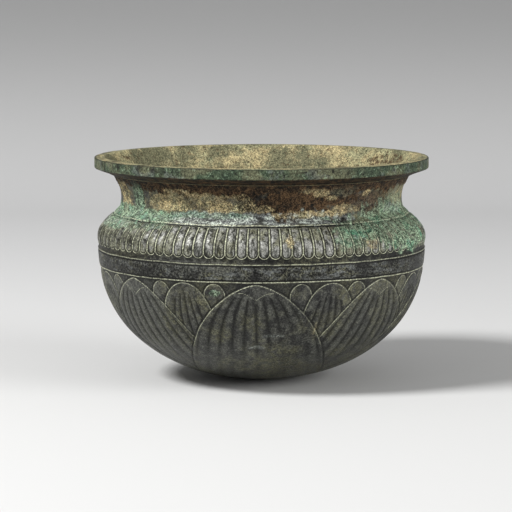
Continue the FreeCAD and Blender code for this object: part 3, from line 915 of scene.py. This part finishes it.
def solder_finish(tints):
    """Solder under the same crust as the lip."""
    finish = Finish("solder_skin")
    fine = finish.noise(0.7, 4.0, 0.6)
    grains = finish.ramp(fine, 0.36, 0.64, 0.5, 1.5)
    colour = finish.blend(1.0, inside_crust(finish, tints), grains, "MULTIPLY")
    roughness, metal = finish.ramp(fine, 0.3, 0.7, 0.6, 0.8), finish.ramp(fine, 0.3, 0.7, 0.0, 0.15)
    return finish.finish(colour, roughness, metal, finish.bump(fine, 0.06, 0.8))


# Pieces

def settings(context):
    scene = context.scene
    return scene.bowl_sizes, scene.bowl_tints, scene.bowl_stage


def dress(thing, material, slot, *nodes):
    """Gives a piece its material and ties it to the frame."""
    thing.data.materials.append(material)
    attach(thing, "root")
    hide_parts(*nodes)


class MakeBowlBody(bpy.types.Operator):
    """Make the body: chased petals and tongues outside, crusted wall inside"""
    bl_idname = "lotus_bowl.body"
    bl_label = "Bowl body"

    def execute(self, context):
        sizes, tints, _ = settings(context)
        outline = Outline(sizes)
        columns = sizes.tongue_count * sizes.columns_per_tongue
        skin = RingMesh()
        distance = self.add_outside(skin, outline, sizes, columns)
        self.add_inside(skin, distance + LIP_GAP, sizes, columns)
        body = skin.build("bowl_body_chased")
        dress(body, body_finish(tints, sizes), "body_bronze", "bowl_body")
        return {"FINISHED"}

    def add_outside(self, skin, outline, sizes, columns):
        def lift_of(angle, height, radius, points):
            surface, masks = outside_relief(angle, height, radius, points, outline, sizes)
            grown = grown_patches(angle, height, points, PATCHES, PATCH_TURNS)
            earth = np.maximum(grown["earth"], grown["brown"])
            clumps = 0.4 + 0.6 * layered(points, 1.7, 61) + 0.35 * layered(points, 5.0, 62)
            crust = earth * clumps + 0.28 * grown["green"] * layered(points, 1.7, 61)
            uneven = 0.1 * layered(points, 22.0, 81) - 0.1
            sheltered = smooth(outline.rim_foot - 0.3, outline.rim_foot - 4.5, height)
            lift = (surface + crust - 0.25 * earth + uneven) * sheltered - 0.02
            masks.update(grown, inside=smooth(outline.top - 0.6, outline.top - 0.3, height))
            return lift * smooth(0.0, 2.0, height), masks

        stretches = [
            # lowest height, highest height, spacing of rows, part of the columns
            (0.0, 3.2, 1.2, 4),
            (3.2, 9.5, 0.7, 2),
            (9.5, outline.lower_line - 3.0, 0.42, 1),
            (outline.lower_line - 3.0, outline.upper_line + 5.0, 0.33, 1),
            (outline.upper_line + 5.0, outline.tongue_top - 2.0, 0.45, 1),
            (outline.tongue_top - 2.0, outline.tongue_top + 1.0, 0.3, 1),
            (outline.tongue_top + 1.0, outline.rim_foot, 0.5, 1),
            (outline.rim_foot, outline.top, 2.0, 1),
        ]
        distance = 0.0
        for low, high, spacing, part in stretches:
            profile = outline.wall(low, high, spacing)
            distance = skin.add_stretch(
                profile, distance, columns // part, lift_of, outline.top, high == outline.top)
        return distance

    def add_inside(self, skin, distance, sizes, columns):
        inside = Outline(sizes, sizes.wall / MM, INSIDE_FLOOR)

        def lift_of(angle, height, radius, points):
            pits = smooth(0.25, 0.8, layered(points, 2.2, 91))
            lift = 0.22 * layered(points, 6.0, 92) + 0.16 * layered(points, 1.8, 93) - 0.35 * pits
            blank = np.zeros_like(height)
            masks = dict.fromkeys(["line", "worn", "dusty", *PATCHES], blank)
            masks.update(grown_patches(angle, height, points, INSIDE_PATCHES, (0.0,)))
            masks.update(hollow=0.7 * pits, inside=blank + 1.0, tongue=blank + OUTSIDE_TONGUE)
            return lift * smooth(inside.top, inside.top - 2.5, height), masks

        lowest = INSIDE_FLOOR + 0.05
        stretches = [(inside.top, 60.0, 0.75, 2), (60.0, 20.0, 1.1, 2), (20.0, lowest, 1.4, 4)]
        for high, low, spacing, part in stretches:
            profile = inside.wall(low, high, spacing)[::-1]
            distance = skin.add_stretch(
                profile, distance, columns // part, lift_of, inside.top, low == lowest)


class MakeRimRing(bpy.types.Operator):
    """Make the heavy rim ring with its seam"""
    bl_idname = "lotus_bowl.rim"
    bl_label = "Rim ring"

    BAND_HEIGHT = 4.8
    EDGE = 0.55
    SEAT_EDGE = 0.25
    SEAT_GAP = 0.2
    SEAM_ANGLE = -66.5
    SEAM_WIDTH = 0.3
    COLUMNS = 1100
    ROWS = 72

    def section(self, outline, rim):
        """Rounded section from the foot of the ring, out and up over the band to the lip."""
        corners = np.array([
            (self.foot(outline), outline.rim_foot), (rim, outline.top - self.BAND_HEIGHT),
            (rim, outline.top), (outline.lip + self.SEAT_GAP, outline.top)])
        points = []
        for index, corner in enumerate(corners):
            cut = self.EDGE if corner[0] == rim else self.SEAT_EDGE
            start = self.towards(corner, corners[index - 1], cut)
            end = self.towards(corner, corners[(index + 1) % len(corners)], cut)
            for part in np.linspace(0.0, 1.0, 5):
                points.append(between(between(start, corner, part), between(corner, end, part), part))
        return np.array(points)

    def foot(self, outline):
        return outline.waist + NECK_FLARE + self.SEAT_GAP

    def towards(self, start, end, distance):
        return start + (end - start) / np.linalg.norm(end - start) * distance

    def execute(self, context):
        sizes, tints, _ = settings(context)
        outline = Outline(sizes)
        rim = sizes.rim_radius / MM
        corners = self.section(outline, rim)
        loop = np.concatenate([corners, corners[:1]])
        travel = travel_of(loop)
        stops = np.linspace(0.0, travel[-1], self.ROWS + 1)[:-1]
        section = np.stack([np.interp(stops, travel, loop[:, side]) for side in (0, 1)], axis=1)
        step = np.roll(section, -1, axis=0) - np.roll(section, 1, axis=0)
        step /= np.linalg.norm(step, axis=1, keepdims=True)
        half_gap = math.degrees(self.SEAM_WIDTH / 2.0 / rim)
        first, last = self.SEAM_ANGLE + half_gap, self.SEAM_ANGLE + FULL_TURN - half_gap
        radius, angle = np.meshgrid(section[:, 0], np.linspace(first, last, self.COLUMNS))
        height = np.repeat(section[None, :, 1], self.COLUMNS, axis=0)
        lift, masks = self.wear(angle, radius, height, outline, rim)
        moved = on_axis(radius + lift * step[:, 1], angle, height - lift * step[:, 0])
        skin = RingMesh()
        skin.add(moved[::-1], {name: mask[::-1] for name, mask in masks.items()},
                 np.arange(self.COLUMNS) * 0.4)
        ring = skin.build("rim_ring_worn")
        dress(ring, rim_finish(tints), "rim_bronze", "rim_ring")
        return {"FINISHED"}

    def wear(self, angle, radius, height, outline, rim):
        """How far the worn skin lies above the true one, and masks for its finish."""
        points = on_axis(radius, angle, height)
        seat = smooth(0.6, 1.4, np.abs(self.off_seat(radius, height, outline)))
        nicks = smooth(0.45, 0.85, layered(points, 3.0, 102))
        waves = 0.12 * layered(points, 14.0, 100) - 0.12 + 0.06 * layered(points, 2.0, 101) - 0.06
        below_top = outline.top - height
        edge_line = stroke(radius - (rim - 0.25), 0.35) * smooth(0.6, 0.2, below_top)
        seam_dirt = stroke(np.radians(turned(angle, self.SEAM_ANGLE)) * rim, 0.75)
        mottling = 0.25 + 0.55 * smooth(-20.0, -50.0, turned(angle, 0.0))
        mottles = mottling * smooth(0.0, 0.4, layered(points, 3.5, 103))
        band_foot = outline.top - self.BAND_HEIGHT
        darkening = [0.6 * nicks * seat, 0.85 * edge_line, 0.95 * seam_dirt, mottles]
        return (waves - 0.4 * nicks) * seat, {
            "top": smooth(rim - 0.5, rim - 1.0, radius) * smooth(0.5, 0.1, below_top),
            # under: the underside of the band, painted with the shade under the rim
            "under": smooth(band_foot + 0.25, band_foot - 0.1, height),
            "hollow": np.maximum.reduce(darkening),
        }

    def off_seat(self, radius, height, outline):
        """Distance from the sloping face that sits on the lip."""
        run, rise = LIP_FLARE, outline.top - outline.rim_foot
        across, up = radius - self.foot(outline), height - outline.rim_foot
        return (across * rise - up * run) / math.hypot(run, rise)


class FinishRimSolder(bpy.types.Operator):
    """Give the solder between ring and lip its finish"""
    bl_idname = "lotus_bowl.solder"
    bl_label = "Rim solder"

    def execute(self, context):
        _, tints, _ = settings(context)
        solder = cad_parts["rim_solder"]
        solder.data.materials.clear()
        solder.data.materials.append(solder_finish(tints))
        return {"FINISHED"}


class MakeStage(bpy.types.Operator):
    """Make the floor with its backdrop, the lamps and the camera"""
    bl_idname = "lotus_bowl.stage"
    bl_label = "Stage"

    PITCH = -6.545
    PAN = 0.1175
    SWEEP_START = 0.75
    SWEEP_RADIUS = 0.6
    SIDE = 3.0
    FRONT = -2.6
    TOP = 2.4
    # Place and size of each lamp
    KEY = ((-1.02, -0.58, 1.27), 0.5)
    FILL = ((1.55, -0.8, 0.62), 1.2)
    LAMP_TARGET = (0.0, 0.0, 0.05)

    def execute(self, context):
        _, _, look = settings(context)
        self.make_floor(look)
        self.make_lamps(context, look)
        self.make_camera(context, look)
        return {"FINISHED"}

    def make_floor(self, look):
        turn = np.linspace(0.0, np.pi / 2.0, 33)
        sweep = self.SWEEP_START + self.SWEEP_RADIUS * np.sin(turn)
        depth = np.concatenate([[self.FRONT], sweep, [self.SWEEP_START + self.SWEEP_RADIUS]])
        height = np.concatenate([[0.0], self.SWEEP_RADIUS * (1.0 - np.cos(turn)), [self.TOP]])
        vertices = [(side, y, z) for y, z in zip(depth, height) for side in (-self.SIDE, self.SIDE)]
        faces = [(2 * row, 2 * row + 1, 2 * row + 3, 2 * row + 2) for row in range(len(depth) - 1)]
        mesh = bpy.data.meshes.new("floor_sweep")
        mesh.from_pydata(vertices, [], faces)
        mesh.shade_smooth()
        floor = new_object("floor_sweep", mesh)
        finish = Finish("pale_floor")
        axes = finish.add("ShaderNodeSeparateXYZ", {0: finish.place}).outputs
        # painted shade: the tint greys towards the back and up the sweep
        colour = finish.blend(finish.ramp(axes["Y"], -0.15, 0.7), look.floor, look.far_floor)
        colour = finish.blend(finish.ramp(axes["Z"], -0.05, 0.17), colour, look.backdrop)
        finish.tree.links.new(colour, finish.shader.inputs["Base Color"])
        finish.shader.inputs["Roughness"].default_value = 0.9
        finish.shader.inputs["Specular IOR Level"].default_value = 0.1
        mesh.materials.append(finish.material)

    def add_lamp(self, name, place, size, power):
        data = bpy.data.lights.new(name, "AREA")
        data.shape = "DISK"
        data.size = size
        data.energy = power
        lamp = new_object(name, data)
        lamp.location = place
        x, y, z = np.array(place) - np.array(self.LAMP_TARGET)
        lamp.rotation_euler = (math.atan2(math.hypot(x, y), z), 0.0, math.atan2(x, -y))

    def make_lamps(self, context, look):
        self.add_lamp("key_lamp", *self.KEY, look.key_power)
        self.add_lamp("fill_lamp", *self.FILL, look.fill_power)
        world = bpy.data.worlds.new("studio_air")
        world.use_nodes = True
        sky = world.node_tree.nodes["Background"].inputs
        sky["Color"].default_value = (1.0, 1.0, 1.0, 1.0)
        sky["Strength"].default_value = look.sky
        context.scene.world = world

    def make_camera(self, context, look):
        data = bpy.data.cameras.new("photo_camera")
        data.lens = look.camera_lens
        data.clip_end = 20.0
        camera = new_object("photo_camera", data)
        camera.location = (0.0, -look.camera_distance, look.camera_height)
        camera.rotation_euler = (math.radians(90.0 + self.PITCH), 0.0, math.radians(self.PAN))
        context.scene.camera = camera
        context.scene.view_settings.view_transform = "Standard"


OPERATORS = [MakeBowlBody, MakeRimRing, FinishRimSolder, MakeStage]


class BowlPanel(bpy.types.Panel):
    """Lists the pieces of the bowl and their settings"""
    bl_idname = "VIEW3D_PT_lotus_bowl"
    bl_label = "Lotus Bowl"
    bl_space_type = "VIEW_3D"
    bl_region_type = "UI"
    bl_category = "Lotus Bowl"

    def draw(self, context):
        for operator in OPERATORS:
            self.layout.operator(operator.bl_idname)
        for group in settings(context):
            box = self.layout.box()
            for name in group.bl_rna.properties.keys():
                if name not in ("rna_type", "name"):
                    box.prop(group, name)


GROUPS = {"bowl_sizes": BowlSizes, "bowl_tints": BowlTints, "bowl_stage": StageLook}
CLASSES = [*GROUPS.values(), *OPERATORS, BowlPanel]


def register():
    for item in CLASSES:
        bpy.utils.register_class(item)
    for name, group in GROUPS.items():
        setattr(bpy.types.Scene, name, PointerProperty(type=group))


def unregister():
    for name in GROUPS:
        delattr(bpy.types.Scene, name)
    for item in reversed(CLASSES):
        bpy.utils.unregister_class(item)


def main():
    register()
    bpy.ops.lotus_bowl.stage()
    bpy.ops.lotus_bowl.body()
    bpy.ops.lotus_bowl.rim()
    bpy.ops.lotus_bowl.solder()


if __name__ == "__main__":
    main()
